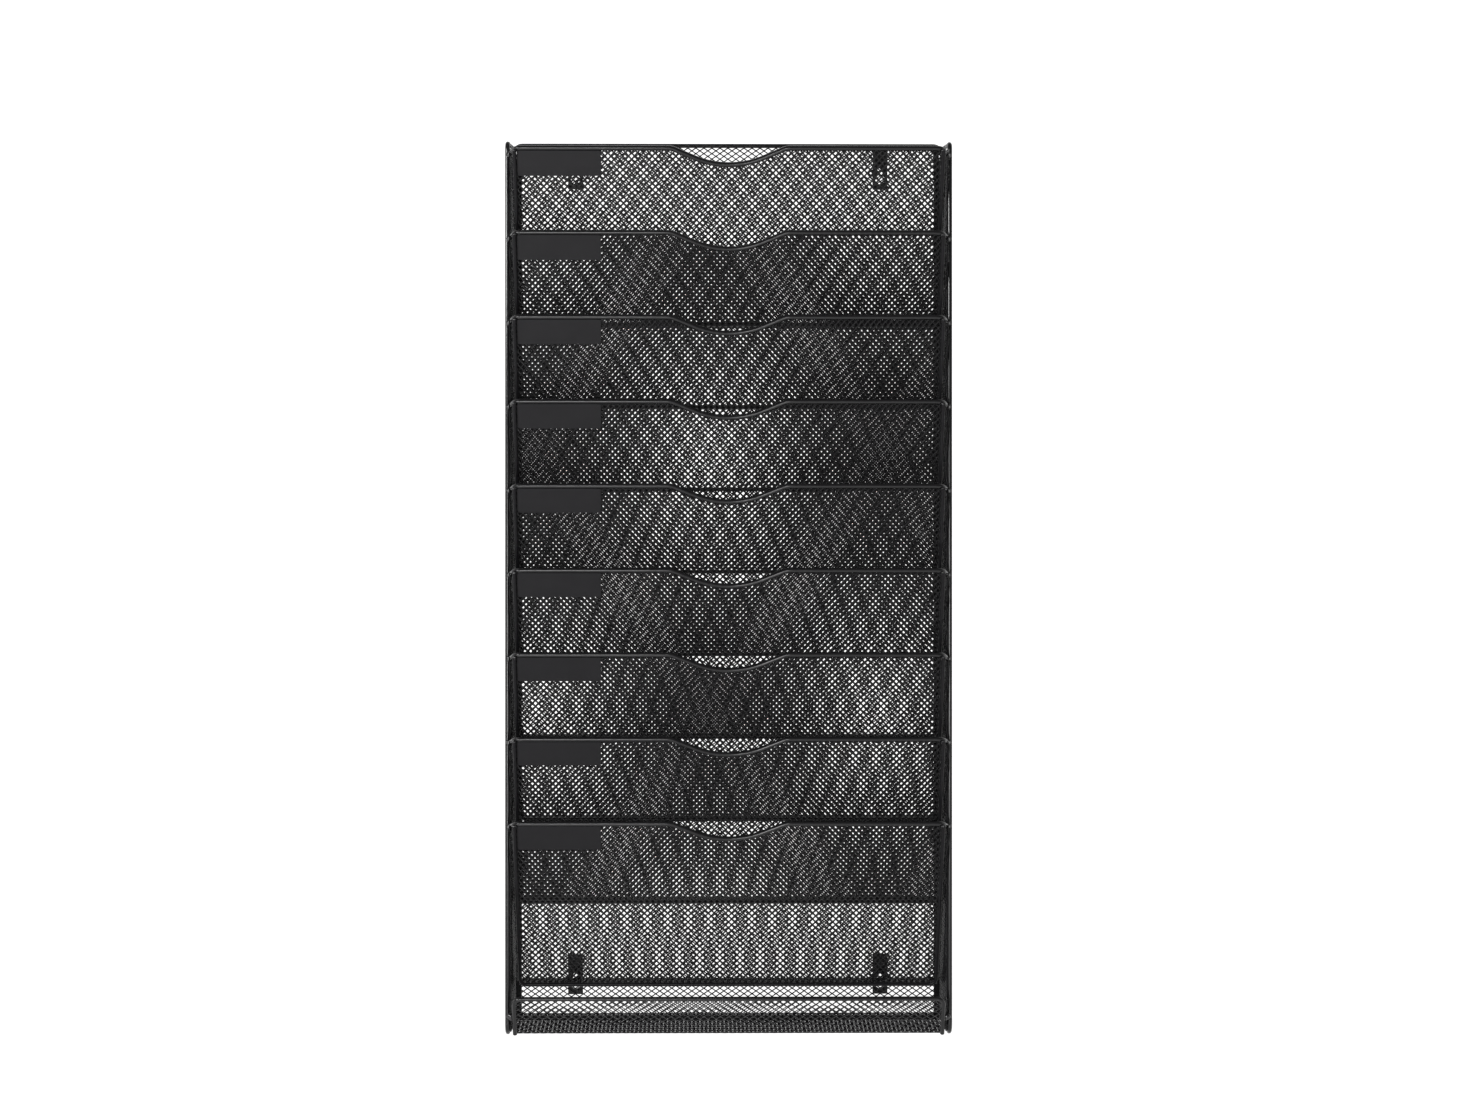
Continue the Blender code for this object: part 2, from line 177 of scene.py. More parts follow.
# Expanded sheet: a net of diamonds, each four strands with a ridge on both faces. It is laid out flat.
# keep picks the diamonds by their middles, trim holds their corners inside the outline, and fold puts
# them in place. The cut strand ends are closed.
def addNet(name, net, span, keep, trim, fold, replaced, coat=sheetCoat):
    halfWide, halfTall = net["across"] / 2, net["along"] / 2
    start = np.array([0, net.get("start", 0)])
    inRadius = halfWide * halfTall / math.hypot(halfWide, halfTall)
    holeShare = 1 - net["strand"] / 2 / inRadius
    step = np.array([halfWide, halfTall])
    low = np.floor((np.array([span[0], span[2]]) - start) / step).astype(int) - 1
    high = np.ceil((np.array([span[1], span[3]]) - start) / step).astype(int) + 1
    columns, rows = np.meshgrid(np.arange(low[0], high[0] + 1), np.arange(low[1], high[1] + 1))
    grid = np.stack([columns, rows], -1).reshape(-1, 2)
    cells = grid[grid.sum(1) % 2 == 0]
    cells = cells[keep(*(cells * step + start).T)]
    turns = np.array([(1, 0), (0, 1), (-1, 0), (0, -1)])
    ends = (cells[:, None] + turns).reshape(-1, 2)
    crossings, atCrossing = np.unique(ends, axis=0, return_inverse=True)
    front = atCrossing.reshape(-1, 4)
    back = front + len(crossings)
    crossing = np.stack(trim(*(crossings * step + start).T), 1)
    hole = ((cells[:, None] + turns * holeShare) * step + start).reshape(-1, 2)
    hole = np.stack(trim(*hole.T), 1)
    inner = np.arange(len(hole)).reshape(-1, 4) + 2 * len(crossings)
    ridge = np.full(len(crossings), net["thick"] / 2)
    points = np.concatenate([
        fold(*crossing.T, ridge), fold(*crossing.T, -ridge), fold(*hole.T, np.zeros(len(hole))),
    ])
    after = [1, 2, 3, 0]
    frontFaces = np.stack([front, front[:, after], inner[:, after], inner], -1).reshape(-1, 4)
    backFaces = np.stack([inner, inner[:, after], back[:, after], back], -1).reshape(-1, 4)
    edge = np.stack([front, front[:, after]], -1).reshape(-1, 2)
    code = np.sort(edge, 1) @ np.array([len(crossings), 1])
    first, count = np.unique(code, return_index=True, return_counts=True)[1:]
    one, other = edge[first[count == 1]].T
    closing = np.stack([one, one + len(crossings), other + len(crossings), other], -1)
    quads = np.concatenate([frontFaces, backFaces, closing])

    mesh = bpy.data.meshes.new(name)
    mesh.vertices.add(len(points))
    mesh.vertices.foreach_set("co", points.astype(np.float32).ravel())
    mesh.loops.add(quads.size)
    mesh.loops.foreach_set("vertex_index", quads.astype(np.int32).ravel())
    mesh.polygons.add(len(quads))
    mesh.polygons.foreach_set("loop_start", np.arange(0, quads.size, 4, dtype=np.int32))
    mesh.update(calc_edges=True)

    flat = np.concatenate([crossing, crossing, hole])
    flat = (flat - flat.min(0)) / (flat.max(0) - flat.min(0))
    frontMap = flat[frontFaces] * netMap["size"] + netMap["front"]
    backMap = flat[backFaces] * netMap["size"] + netMap["back"]
    corner = np.array([(0, 0), (0, 1), (netMap["endWide"], 1), (netMap["endWide"], 0)])
    endMap = corner + np.stack([np.arange(len(closing)), np.zeros(len(closing))], -1)[:, None]
    endsWide, endsTall = netMap["endsSize"]
    endMap = endMap * (endsWide / len(closing), endsTall) + netMap["ends"]
    places = np.concatenate([frontMap, backMap, endMap])
    layer = mesh.uv_layers.new(name="OFBake")
    layer.uv.foreach_set("vector", places.astype(np.float32).ravel())
    print(name, len(cells), "diamonds")
    return settle(name, mesh, coat, replaced)


# The place of a sheet that leans up from a bend and runs back from it on a floor.
# The floor may fall to the front.
def aroundFoot(along, out, reach, lean, fall):
    sweep = math.pi / 2 + fall - lean
    radius = reach / math.tan(sweep / 2)
    direction = lean + np.clip((reach - along) / (2 * reach), 0, 1) * sweep
    up = np.maximum(along, reach)
    beyond = np.minimum(along + reach, 0)
    depth = up * math.sin(lean) - radius * (math.cos(lean) - np.cos(direction))
    depth = depth + beyond * math.cos(fall)
    height = up * math.cos(lean) + radius * (math.sin(lean) - np.sin(direction))
    height = height - beyond * math.sin(fall)
    return depth + out * np.cos(direction), height - out * np.sin(direction)


def cornerArc(before, corner, after, radius, steps=8):
    back = (before - corner).normalized()
    ahead = (after - corner).normalized()
    half = back.angle(ahead) / 2
    centre = corner + (back + ahead).normalized() * radius / math.sin(half)
    start = corner + back * radius / math.tan(half) - centre
    axis = back.cross(ahead).normalized()
    turn = 2 * half - math.pi
    return [centre + Matrix.Rotation(turn * step / steps, 3, axis) @ start for step in range(steps + 1)]


def bent(points, radii):
    path = [points[0]]
    for number, radius in enumerate(radii, 1):
        path += cornerArc(points[number - 1], points[number], points[number + 1], radius)
    return path + [points[-1]]


longRun = {"least": 0.003, "inset": 0.0006}


# Long straight runs get a ring close to both ends, so that the bends don't bend their shading.
def steadied(path, closed):
    steady = []
    for start, end in zip(path, path[1:] + path[:1] if closed else path[1:]):
        steady.append(start)
        run = end - start
        if run.length > longRun["least"]:
            inset = run.normalized() * longRun["inset"]
            steady += [start + inset, end - inset]
    return steady if closed else steady + [path[-1]]


# Round wire along a path. Open ends are cut square, with a small round edge.
def addWire(name, path, diameter, replaced, closed=False, coat=wireCoat, sides=18, edge=0.0004):
    path = steadied(path, closed)
    radii = [diameter / 2] * len(path)
    if not closed:
        first = path[0] + (path[1] - path[0]).normalized() * edge
        last = path[-1] + (path[-2] - path[-1]).normalized() * edge
        path = [path[0], first, *path[1:-1], last, path[-1]]
        radii = [diameter / 2 - edge, *radii, diameter / 2 - edge]
    count = len(path)
    tangents = []
    for number in range(count):
        before = path[number - 1] if closed or number else path[0]
        after = path[(number + 1) % count] if closed or number + 1 < count else path[-1]
        tangents.append((after - before).normalized())
    side = tangents[0].orthogonal().normalized()
    points = []
    for place, tangent, radius in zip(path, tangents, radii):
        side = (side - tangent * side.dot(tangent)).normalized()
        up = tangent.cross(side)
        for step in range(sides):
            angle = 2 * math.pi * step / sides
            points.append(place + (side * math.cos(angle) + up * math.sin(angle)) * radius)
    faces = []
    for ring in range(0, len(points) - sides, sides):
        for step in range(sides):
            after = (step + 1) % sides
            faces.append((ring + step, ring + after, ring + sides + after, ring + sides + step))
    last = len(points) - sides
    if closed:
        # the last ring may lie turned against the first, so its faces end at the nearest vertices
        nearest = min(range(sides), key=lambda step: (points[last] - points[step]).length)
        for step in range(sides):
            after = (step + 1) % sides
            meets, meetsAfter = (step + nearest) % sides, (after + nearest) % sides
            faces.append((last + step, last + after, meetsAfter, meets))
    else:
        faces.append(tuple(range(sides))[::-1])
        faces.append(tuple(range(last, len(points))))
    return addPiece(name, points, faces, coat, replaced)


pocket = {
    "rimDepth": 0.088,
    "footDepth": 0.036,
    "drop": 0.122,  # from the rim to the foot
    "taper": 0.0014,  # on each side, down to the foot
    "rimWire": 0.0038,
    "rimBend": 0.006,
    "rimCorner": 0.1515,  # where the ends turn back, from the middle
    "rimEnd": 0.1566,
    "rimEndDrop": 0.0034,
    "rimEndGap": 0.0002,
    "uprightFace": 0.07375,  # depth of the front of the uprights
    "wire": 0.0028,
    "wireInset": 0.0027,
    "wireBend": 0.005,
    "wireRise": 0.001,  # of the tops of its legs over frontTop
    "hemBend": 0.0010,
    "hem": 0.0026,
    "topGap": 0.0006,  # from the middle of the rim down to the sheet
    "topStrand": 0.0004,  # no diamond has its middle nearer the top edge
    "cornerStart": 0.1500,
    "cornerSlope": 1.2,
    "cornerCut": 0.0054,
    "footBend": 0.0015,
    "floorBack": 0.0061,
    "floorInset": 0.003,  # on the floor, where the sheet has no hem
}
fingerDip = {
    "wide": 0.0864,
    "deep": 0.0122,
    "slope": 0.4307,
    "shoulder": 0.010,
    "bottom": 0.0622,
    "steps": 56,
}
pocketNet = {"across": 0.0042, "along": 0.00495, "strand": 0.00132, "thick": 0.0009}
tilt = math.atan2(pocket["rimDepth"] - pocket["footDepth"], pocket["drop"])
slope = math.hypot(pocket["rimDepth"] - pocket["footDepth"], pocket["drop"])
frontTop = slope - pocket["rimWire"] / 2 - organizer["gap"]  # just under the rim wire


# The dip has short round shoulders, straight slopes and a wide round bottom.
def dip(across):
    place = np.abs(across)
    lean = math.atan(fingerDip["slope"])
    half = fingerDip["wide"] / 2
    bottomEnd = fingerDip["bottom"] * math.sin(lean)
    shoulderEnd = half - fingerDip["shoulder"] * math.sin(lean)
    inShoulder = np.clip(half - place, 0, fingerDip["shoulder"])
    shoulder = fingerDip["shoulder"] - np.sqrt(fingerDip["shoulder"] ** 2 - inShoulder**2)
    shoulderDrop = fingerDip["shoulder"] * (1 - math.cos(lean))
    straight = shoulderDrop + (shoulderEnd - place) * fingerDip["slope"]
    inBottom = np.minimum(place, bottomEnd)
    bottom = fingerDip["deep"] - fingerDip["bottom"] + np.sqrt(fingerDip["bottom"] ** 2 - inBottom**2)
    return np.where(place < bottomEnd, bottom, np.where(place < shoulderEnd, straight, shoulder))


def pocketHalf(up):
    return organizer["halfSheet"] - pocket["taper"] * (1 - up / slope)


def onFront(tier, across, up, out):
    foot = rimHeight(tier) - pocket["drop"]
    depth = pocket["footDepth"] + up * math.sin(tilt) + out * math.cos(tilt)
    return spot(across, depth, foot + up * math.cos(tilt) - out * math.sin(tilt))


# A pocket's sheet runs down the slope, round the foot and back on the floor.
# Its sides turn back in a small hem.
def pocketFold(tier):
    foot = rimHeight(tier) - pocket["drop"] + organizer["sheet"] / 2
    hemStart = organizer["halfSheet"] - organizer["sheet"] / 2 - pocket["hemBend"]

    def fold(across, along, out):
        excess = np.abs(across) - hemStart
        turn = np.clip(excess / pocket["hemBend"], 0, math.pi / 2)
        straight = np.maximum(excess - pocket["hemBend"] * math.pi / 2, 0)
        flat = np.minimum(np.abs(across), hemStart)
        taper = (pocketHalf(np.maximum(along, 0)) - organizer["halfSheet"]) * flat / hemStart
        x = flat + taper + (pocket["hemBend"] + out) * np.sin(turn)
        out = out * np.cos(turn) - pocket["hemBend"] * (1 - np.cos(turn)) - straight
        depth, height = aroundFoot(along, out, pocket["footBend"], tilt, 0)
        depth = depth + pocket["footDepth"]
        return np.stack([np.sign(across) * x, -depth, foot + height - organizer["hang"]], 1)

    return fold


# The top edge follows the rim and its dip, and its corners are cut off, clear of the bent rim ends.
def pocketTop(across):
    beyond = np.abs(across) - pocket["cornerStart"]
    cut = np.clip(beyond * pocket["cornerSlope"], 0, pocket["cornerCut"])
    return slope - dip(across) - pocket["topGap"] - cut


def pocketTrim(across, along):
    return across, np.clip(along, pocket["floorBack"] - pocket["footDepth"], pocketTop(across))


def pocketKeep(across, along):
    inside = (np.abs(across) < hemEdge) & (along < pocketTop(across) - pocket["topStrand"])
    inside &= along > pocket["floorBack"] - pocket["footDepth"]
    onFloor = along < 2 * pocket["footBend"]
    return inside & ~(onFloor & (np.abs(across) > organizer["halfSheet"] - pocket["floorInset"]))


def rimPath(tier):
    height = rimHeight(tier)
    endDepth = pocket["uprightFace"] + pocket["rimEndGap"]
    end = spot(pocket["rimEnd"], endDepth, height - pocket["rimEndDrop"])
    corner = spot(pocket["rimCorner"], pocket["rimDepth"], height)
    mirror = Matrix.Scale(-1, 4, (1, 0, 0))
    right = [end, *cornerArc(end, corner, mirror @ corner, pocket["rimBend"], steps=10)]
    steps = fingerDip["steps"]
    places = [fingerDip["wide"] * (step / steps - 0.5) for step in range(steps + 1)]
    middle = [onFront(tier, across, slope - float(dip(across)), 0) for across in places]
    return [mirror @ point for point in right] + middle + right[::-1]


def pocketWirePath(tier):
    out = organizer["sheet"] / 2 + pocket["wire"] / 2
    low = pocket["wire"] / 2
    top = pocketHalf(frontTop) - pocket["wireInset"]
    foot = pocketHalf(0) - pocket["wireInset"]
    high = frontTop + pocket["wireRise"]
    corners = [(top, high), (foot, low), (-foot, low), (-top, high)]
    return bent([onFront(tier, across, up, out) for across, up in corners], [pocket["wireBend"]] * 2)


plate = {
    "wide": 0.0596,
    "tall": 0.0187,
    "thick": 0.0006,
    "inset": 0.0045,
    "rise": 0.0006,  # of its top over frontTop
    "corner": 0.0013,
    "cornerSteps": 4,
    "edge": 0.00018,
}


def addPlate(tier):
    left = plate["inset"] - organizer["halfSheet"]
    right = left + plate["wide"]
    top = frontTop + plate["rise"]
    bottom = top - plate["tall"]
    centres = [
        (right - plate["corner"], top - plate["corner"], 0),
        (left + plate["corner"], top - plate["corner"], 90),
        (left + plate["corner"], bottom + plate["corner"], 180),
        (right - plate["corner"], bottom + plate["corner"], 270),
    ]
    base = organizer["sheet"] / 2 + organizer["gap"] / 2
    levels = [
        (-plate["edge"], base), (0, base + plate["edge"]),
        (0, base + plate["thick"] - plate["edge"]), (-plate["edge"], base + plate["thick"]),
    ]
    points, faces = [], []
    for grow, out in levels:
        radius = plate["corner"] + grow
        for x, y, start in centres:
            for step in range(plate["cornerSteps"] + 1):
                angle = math.radians(start + step * 90 / plate["cornerSteps"])
                across, up = x + radius * math.cos(angle), y + radius * math.sin(angle)
                points.append(onFront(tier, across, up, out))
    ring = len(points) // len(levels)
    for low in range(0, len(points) - ring, ring):
        for step in range(ring):
            after = (step + 1) % ring
            faces.append((low + step, low + after, low + ring + after, low + ring + step))
    faces.append(tuple(range(ring))[::-1])
    faces.append(tuple(range(len(points) - ring, len(points))))
    replaced = [f"name_plate_{tier + 1}"]
    piece = addPiece(f"namePlate_{tier + 1}", points, faces, plateCoat, replaced)
    for face in piece.data.polygons[-2:]:
        face.use_smooth = False  # the two broad faces


hemEdge = organizer["halfSheet"] - organizer["sheet"] / 2 - pocket["hemBend"] + pocket["hem"]
for tier in range(organizer["pockets"]):
    number = tier + 1
    addNet(
        f"pocketSheet_{number}", pocketNet, (-hemEdge, hemEdge, -pocket["footDepth"], slope),
        pocketKeep, pocketTrim, pocketFold(tier), [f"pocket_front_{number}", f"pocket_floor_{number}"],
    )
    addWire(f"rimWire_{number}", rimPath(tier), pocket["rimWire"], [f"rim_wire_{number}"])
    addWire(
        f"pocketWire_{number}", pocketWirePath(tier), pocket["wire"], [f"pocket_wire_{number}"],
        coat=lowWireCoat, sides=14,
    )
    addPlate(tier)
print("pockets made")

tray = {
    "wire": 0.0032,
    "rimHeight": 0.028,
    "rimDepth": 0.084,
    "footDepth": 0.0705,
    "footEnd": 0.0005,  # height at which the wire ends
    "wireInset": 0.0021,
    "cornerBend": 0.0054,
    "floorHeight": 0.0009,  # of its front edge
    "floorRise": 0.00484,  # from there back to the wall
    "floorBack": 0.0061,
    "bend": 0.0012,
    "sideGap": 0.0004,
}
trayNet = {"across": 0.0059, "along": 0.0042, "strand": 0.00082, "thick": 0.0008}
trayTilt = math.atan2(tray["rimDepth"] - tray["footDepth"], tray["rimHeight"] - tray["wire"] / 2)

sideFrame = {
    "wire": 0.0035,
    "depth": 0.072,
    "top": 0.6382,
    "tipBend": 0.004,
    "footBend": 0.007,
    "returnRise": 0.005,
    "endDepth": 0.0050,
    "sheetX": 0.1562,
    "sheetBack": 0.005,
    "sheetSpan": 0.09,
    "topGap": 0.004,
    "backStrand": 0.0055,  # no diamond has its middle behind this depth
    "lowStrand": 0.0025,  # or below this height
    "toothGap": 0.0008,
    "toothStart": 0.0005,  # under the rim
    "trayGap": 0.002,
    "notch": (0.0015, 0.004),  # cleared below and above each rim
}
sideNet = {"across": 0.0042, "along": 0.0056, "strand": 0.00115, "thick": 0.0008}


# How far out the side sheet reaches: to the uprights, to the tray and in a tooth to each pocket.
def toothDepth(height):
    depth = np.full(np.shape(height), pocket["uprightFace"])
    for tier in range(organizer["pockets"]):
        under = rimHeight(tier) - height
        reach = pocket["rimDepth"] - under * math.tan(tilt) - sideFrame["toothGap"]
        depth = np.where((under > sideFrame["toothStart"]) & (reach > depth), reach, depth)
    reach = tray["rimDepth"] - (tray["rimHeight"] - height) * math.tan(trayTilt) - sideFrame["trayGap"]
    return np.where(height < tray["rimHeight"], reach, depth)


def addSide(name, side):
    x = side * organizer["halfFrame"]
    run = [
        spot(x, sideFrame["endDepth"], sideFrame["top"] + sideFrame["returnRise"]),
        spot(x, sideFrame["depth"], sideFrame["top"]),
        spot(x, sideFrame["depth"], sideFrame["wire"] / 2),
        spot(x, sideFrame["endDepth"], sideFrame["wire"] / 2),
    ]
    path = bent(run, [sideFrame["tipBend"], sideFrame["footBend"]])
    addWire(f"{name}SideWire", path, sideFrame["wire"], [f"{name}_side_wire"])
    top = sideFrame["top"] - sideFrame["topGap"]
    below, above = sideFrame["notch"]

    def keep(depth, height):
        inside = (depth > sideFrame["backStrand"]) & (height > sideFrame["lowStrand"])
        return inside & (height < top) & (depth < toothDepth(height))

    def trim(depth, height):
        inTooth = depth > pocket["uprightFace"]
        over = height - np.array([rimHeight(tier) for tier in range(organizer["pockets"])])[:, None]
        nearRim = np.where((over > -below) & (over < above), over + below, 0).sum(0)
        height = np.where(inTooth, height - nearRim, height)
        height = np.clip(height, sideFrame["wire"] / 2, top)
        return np.clip(depth, sideFrame["sheetBack"], toothDepth(height)), height

    def fold(depth, height, out):
        return np.stack([side * sideFrame["sheetX"] + out, -depth, height - organizer["hang"]], 1)

    span = (0, sideFrame["sheetSpan"], 0, top)
    addNet(f"{name}SideSheet", sideNet, span, keep, trim, fold, [f"{name}_side_mesh"])


addSide("left", -1)
addSide("right", 1)
print("sides made")

back = {
    "wire": 0.0032,
    "depth": 0.0031,
    "sheet": 0.0054,  # depth of the middle of the sheet
    "top": 0.646,
    "bend": 0.0065,
    "half": 0.1559,
    "open": 0.152,  # from the middle to the inner edge of a hem
    "hem": 0.0012,
}
backNet = {"across": 0.00592, "along": 0.00408, "start": 0.0015, "strand": 0.0009, "thick": 0.0008}


def addBack():
    low = back["wire"] / 2
    half = organizer["halfFrame"]
    corners = [
        spot(-half, back["depth"], low), spot(half, back["depth"], low),
        spot(half, back["depth"], back["top"]), spot(-half, back["depth"], back["top"]),
    ]
    loop = []
    for number, corner in enumerate(corners):
        loop += cornerArc(corners[number - 1], corner, corners[(number + 1) % 4], back["bend"])
    addWire("backFrameWire", loop, back["wire"], ["back_frame_wire"], closed=True)

    # the sheet is made as a lower and an upper half
    half = back["half"]
    middle = backNet["start"] + round(back["top"] / 2 / backNet["along"]) * backNet["along"]

    def trim(across, height):
        return np.clip(across, -half, half), np.clip(height, low, back["top"])

    def fold(across, height, out):
        return np.stack([across, -(back["sheet"] + out), height - organizer["hang"]], 1)

    for name, bottom, top in (("backSheet_low", low, middle), ("backSheet_high", middle, back["top"])):
        def keep(across, height):
            return (np.abs(across) < half) & (height > bottom) & (height <= top)

        addNet(name, backNet, (-half, half, bottom, top), keep, trim, fold, ["back_mesh"])

    # its side edges are folded over into a closed hem
    out = back["hem"] / 2
    hems = [("backHem_left", -back["open"], -half), ("backHem_right", back["open"], half)]
    for name, inner, outer in hems:
        corners = [
            spot(x, depth, height)
            for height in (low, back["top"]) for depth in (back["sheet"] - out, back["sheet"] + out)
            for x in (inner, outer)
        ]
        quads = [(0, 1, 3, 2), (4, 6, 7, 5), (0, 4, 5, 1), (2, 3, 7, 6), (0, 2, 6, 4), (1, 5, 7, 3)]
        hem = addPiece(name, corners, quads, sheetCoat, ["back_mesh"])
        hem.data.shade_flat()


addBack()
print("back made")


def addTray():
    low = tray["wire"] / 2
    leg = organizer["halfSheet"] - tray["wireInset"]
    footDepth = tray["footDepth"] - (low - tray["footEnd"]) * math.tan(trayTilt)
    right = [spot(leg, footDepth, tray["footEnd"]), spot(leg, tray["rimDepth"], tray["rimHeight"])]
    left = [Vector((-point.x, point.y, point.z)) for point in right[::-1]]
    addWire("trayWire", bent(right + left, [tray["cornerBend"]] * 2), tray["wire"], ["tray_frame_wire"])

    behind = tray["wire"] / 2 + organizer["sheet"] / 2
    cornerDepth = tray["footDepth"] - behind / math.cos(trayTilt)
    cornerDepth += (tray["floorHeight"] - low) * math.tan(trayTilt)
    length = (tray["rimHeight"] - tray["floorHeight"]) / math.cos(trayTilt)
    run = cornerDepth - tray["floorBack"]
    floorEdge = -math.hypot(run, tray["floorRise"])
    fall = math.atan2(tray["floorRise"], run)
    half = organizer["halfSheet"] - tray["sideGap"]

    def keepFront(across, along):
        return (np.abs(across) < half) & (along > tray["bend"]) & (along < length)

    def keepFloor(across, along):
        return (np.abs(across) < half) & (along > floorEdge) & (along <= tray["bend"])

    def trim(across, along):
        return np.clip(across, -half, half), np.clip(along, floorEdge, length)

    def fold(across, along, out):
        depth, height = aroundFoot(along, out, tray["bend"], trayTilt, fall)
        height = height + tray["floorHeight"] - organizer["hang"]
        return np.stack([across, -(depth + cornerDepth), height], 1)

    span = (-half, half, floorEdge, length)
    # the tray front takes a lighter copy of the sheet coat, painted sheen
    addNet("trayFrontSheet", trayNet, span, keepFront, trim, fold, ["tray_front_mesh"], trayFrontPaintedSheenCoat)
    # the tray floor takes a darker, duller copy of the sheet coat, painted shade
    addNet("trayFloorSheet", trayNet, span, keepFloor, trim, fold, ["tray_floor_mesh"], trayFloorPaintedShadeCoat)


addTray()
print("tray made")

bead = {
    "rings": 6,
    "sides": 10,
    "turnSwell": 0.12,
    "liftSwell": 0.08,
    "rimEnd": {"size": (0.0017, 0.0012, 0.0021), "beyond": 0.0008, "drop": 0.0030, "seed": 1.7},
    "legTop": {"size": (0.0017, 0.0013, 0.0014), "rise": 0.0008, "out": 0.0013, "seed": 2},
    "trayLeg": {"size": (0.0026, 0.0017, 0.0029), "inset": 0.0022, "ahead": 0.0034, "height": 0.0138},
    "returnEnd": {"size": (0.0021, 0.0021, 0.0021), "seed": 9},
}


# A small uneven lump of metal under the coat. The seed turns its bulges.
def addLump(points, faces, centre, size, seed):
    start = len(points)
    sides = bead["sides"]
    for ring in range(bead["rings"] + 1):
        lift = math.pi * ring / bead["rings"]
        for step in range(sides):
            turn = 2 * math.pi * step / sides
            swell = 1 + bead["turnSwell"] * math.sin(3 * turn + seed) * math.sin(lift)
            swell += bead["liftSwell"] * math.cos(2 * lift + 2 * seed)
            way = (math.sin(lift) * math.cos(turn), math.sin(lift) * math.sin(turn), math.cos(lift))
            points.append(centre + Vector([a * b for a, b in zip(way, size)]) * swell)
    for ring in range(bead["rings"]):
        low = start + ring * sides
        for step in range(sides):
            after = (step + 1) % sides
            faces.append((low + step, low + sides + step, low + sides + after, low + after))


# The welds where wires meet.
def addBeads():
    points, faces = [], []
    rimEnd, legTop = bead["rimEnd"], bead["legTop"]
    trayLeg, returnEnd = bead["trayLeg"], bead["returnEnd"]
    for tier in range(organizer["pockets"]):
        for side in (-1, 1):
            seed = tier * rimEnd["seed"] + side
            x = side * (pocket["rimEnd"] + rimEnd["beyond"])
            centre = spot(x, pocket["uprightFace"], rimHeight(tier) - rimEnd["drop"])
            addLump(points, faces, centre, rimEnd["size"], seed)
            x = side * (pocketHalf(frontTop) - pocket["wireInset"])
            centre = onFront(tier, x, frontTop + legTop["rise"], legTop["out"])
            addLump(points, faces, centre, legTop["size"], seed + legTop["seed"])
    for side in (-1, 1):
        x = side * (organizer["halfFrame"] - trayLeg["inset"])
        centre = spot(x, tray["footDepth"] + trayLeg["ahead"], trayLeg["height"])
        addLump(points, faces, centre, trayLeg["size"], side)
        for height in (sideFrame["top"] + sideFrame["returnRise"], sideFrame["wire"] / 2):
            centre = spot(side * organizer["halfFrame"], sideFrame["endDepth"], height)
            addLump(points, faces, centre, returnEnd["size"], height * returnEnd["seed"])
    addPiece("weldBeads", points, faces, weldCoat)


addBeads()
for name in ("upper_left_tab", "upper_right_tab", "lower_left_tab", "lower_right_tab"):
    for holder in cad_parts[name].material_slots:
        holder.material = tabCoat
print("beads and tabs made")

studio = {
    "floorDrop": 0.35,
    "back": 2.8,  # from the wall plane to the backdrop
    "side": 25,
    "front": 25,
    "wings": 8,  # how far the side walls come forward
    "high": 12,
    "cove": 0.6,
    "coveSteps": 12,
    "corner": 2,
    "cornerSteps": 8,
    "tone": 0.8,
    "roughness": 0.9,
    "glow": 0.8,
    "fill": 0.3,
    "lights": {
        "left": {"at": (-1.85, -1.75, 0.21), "aim": (0, 0, -0.2), "size": (0.9, 0.28), "power": 36},
        "front": {"at": (-0.75, -2.35, -0.50), "aim": (0, 0, -0.35), "size": (0.35, 0.7), "power": 17},
        "low": {"at": (-0.25, -2.45, -0.42), "aim": (0, 0, -0.35), "size": (0.35, 0.35), "power": 10},
    },
}


# True for every ray that looks, through the camera or in a reflection.
def seenByEye(tree):
    path = tree.nodes.new("ShaderNodeLightPath")
    seen = path.outputs["Is Camera Ray"]
    for ray in ("Is Glossy Ray", "Is Transmission Ray"):
        either = tree.nodes.new("ShaderNodeMath")
        either.operation = "MAXIMUM"
        tree.links.new(seen, either.inputs[0])
        tree.links.new(path.outputs[ray], either.inputs[1])
        seen = either.outputs[0]
    return seen


def addAir():
    world = bpy.data.worlds.new("studioAir")
    bpy.context.scene.world = world
    world.use_nodes = True
    air = world.node_tree.nodes["Background"]
    air.inputs["Color"].default_value = (1, 1, 1, 1)
    air.inputs["Strength"].default_value = studio["fill"]


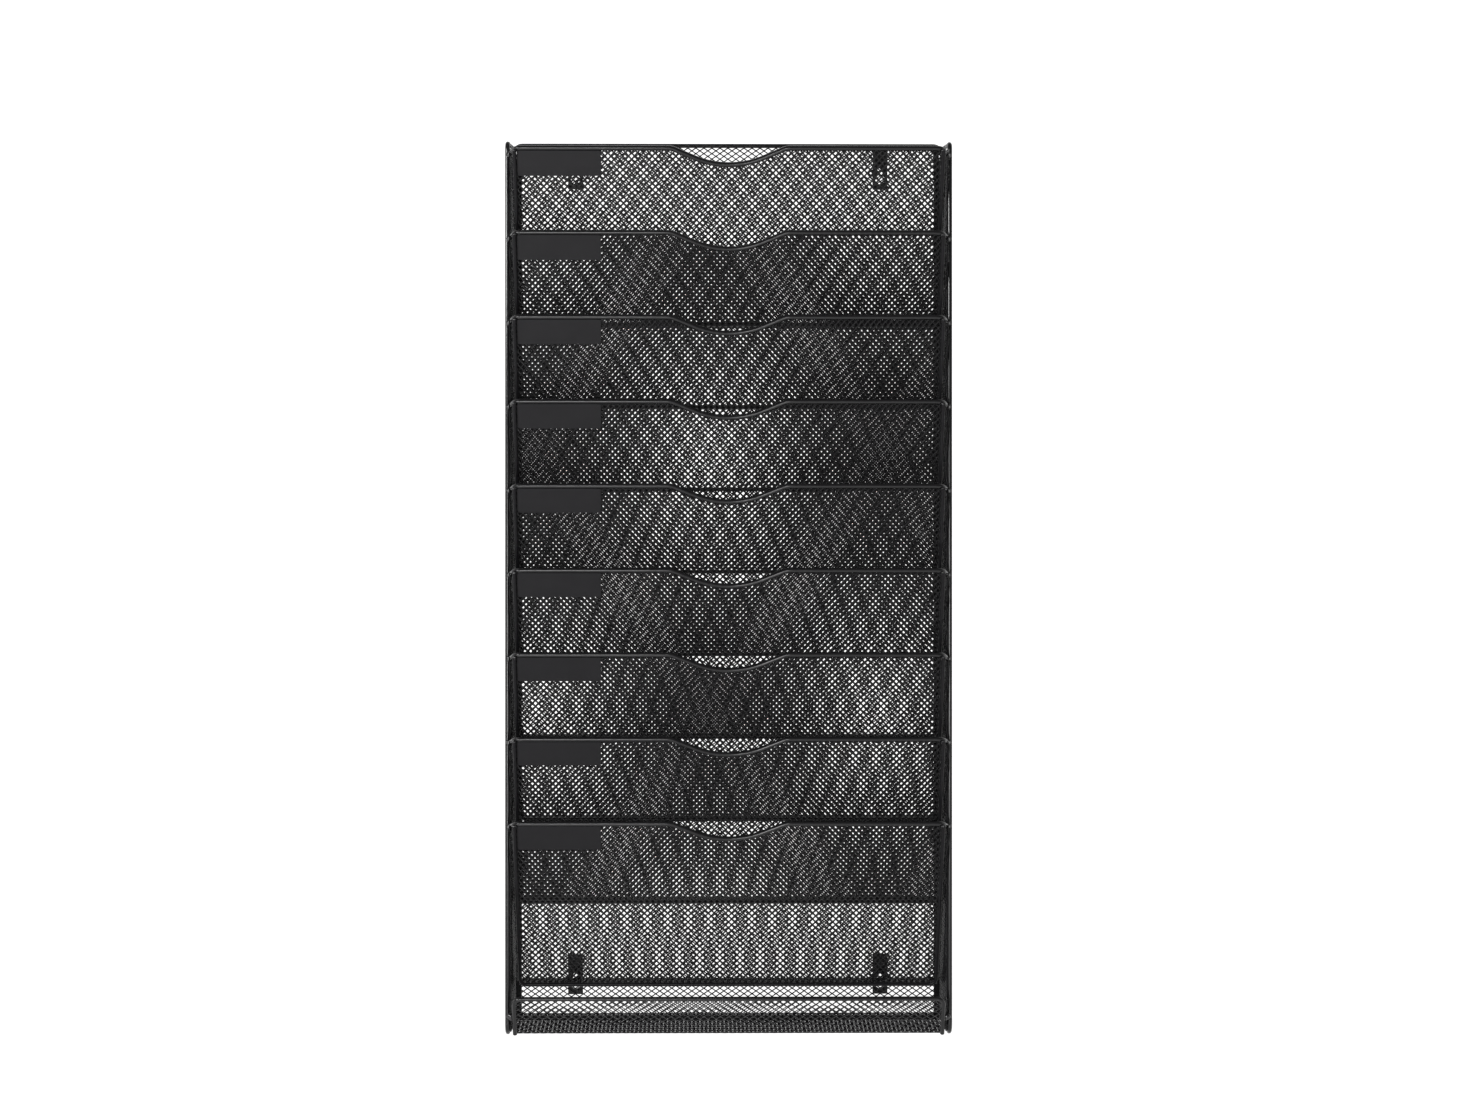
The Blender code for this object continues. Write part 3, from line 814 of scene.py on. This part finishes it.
# A white floor that turns up in a round cove to walls at the back and on both sides.
# It takes the shadow and is otherwise seen as white.
def addBackdrop():
    level = -organizer["hang"] - studio["floorDrop"]
    side, corner, cove = studio["side"], studio["corner"], studio["cove"]
    line = [(-side, -studio["wings"], -1, 0)]
    for x, first in ((corner - side, 180), (side - corner, 90)):
        for step in range(studio["cornerSteps"] + 1):
            turn = math.radians(first - 90 * step / studio["cornerSteps"])
            across, ahead = math.cos(turn), math.sin(turn)
            line.append((x + corner * across, studio["back"] - corner + corner * ahead, across, ahead))
    line.append((side, -studio["wings"], 1, 0))
    points = []
    for x, y, across, ahead in line:
        for step in range(studio["coveSteps"] + 1):
            turn = math.radians(90 * step / studio["coveSteps"])
            inside = cove - cove * math.sin(turn)
            height = level + cove - cove * math.cos(turn)
            points.append((x - across * inside, y - ahead * inside, height))
        points.append((x, y, level + studio["high"]))
    rows = len(points) // len(line)
    faces = [
        (low, low + rows, low + rows + 1, low + 1)
        for start in range(0, len(points) - rows, rows) for low in range(start, start + rows - 1)
    ]
    points += [(side - cove, -studio["front"], level), (cove - side, -studio["front"], level)]
    faces.append((*range(0, len(line) * rows, rows), len(points) - 2, len(points) - 1))
    mesh = bpy.data.meshes.new("studioBackdrop")
    mesh.from_pydata(points, [], faces)
    mesh.shade_smooth()
    mesh.polygons[-1].use_smooth = False  # the floor
    backdrop = bpy.data.objects.new("studioBackdrop", mesh)
    bpy.context.scene.collection.objects.link(backdrop)
    paper = bpy.data.materials.new("whitePaper")
    paper.use_nodes = True
    nodes, links = paper.node_tree.nodes, paper.node_tree.links
    shader = nodes["Principled BSDF"]
    shader.inputs["Base Color"].default_value = (studio["tone"],) * 3 + (1,)
    shader.inputs["Roughness"].default_value = studio["roughness"]
    shader.inputs["Specular IOR Level"].default_value = 0
    glow = nodes.new("ShaderNodeMath")
    glow.operation = "MULTIPLY"
    glow.inputs[1].default_value = studio["glow"]
    links.new(seenByEye(paper.node_tree), glow.inputs[0])
    shader.inputs["Emission Color"].default_value = (1, 1, 1, 1)
    links.new(glow.outputs[0], shader.inputs["Emission Strength"])
    mesh.materials.append(paper)


def addLights():
    for name, lamp in studio["lights"].items():
        data = bpy.data.lights.new(name, "AREA")
        data.shape = "RECTANGLE"
        data.size, data.size_y = lamp["size"]
        data.energy = lamp["power"]
        light = bpy.data.objects.new(name, data)
        light.location = lamp["at"]
        aim = Vector(lamp["aim"]) - light.location
        light.rotation_euler = aim.to_track_quat("-Z", "Y").to_euler()
        light.visible_camera = False
        bpy.context.scene.collection.objects.link(light)


view = {
    "eye": (-0.0206, -2.188, -0.2792),
    "target": (0.0007, -0.088, -0.2792),
    "lens": 72.9,
    "sensor": 36,
}


def addCamera():
    data = bpy.data.cameras.new("photoCamera")
    data.lens = view["lens"]
    data.sensor_width = view["sensor"]
    camera = bpy.data.objects.new("photoCamera", data)
    camera.location = view["eye"]
    aim = Vector(view["target"]) - camera.location
    camera.rotation_euler = aim.to_track_quat("-Z", "Y").to_euler()
    bpy.context.scene.collection.objects.link(camera)
    bpy.context.scene.camera = camera


bpy.context.scene.view_settings.view_transform = "Standard"
addAir()
addBackdrop()
addLights()
addCamera()
print("studio and camera made")
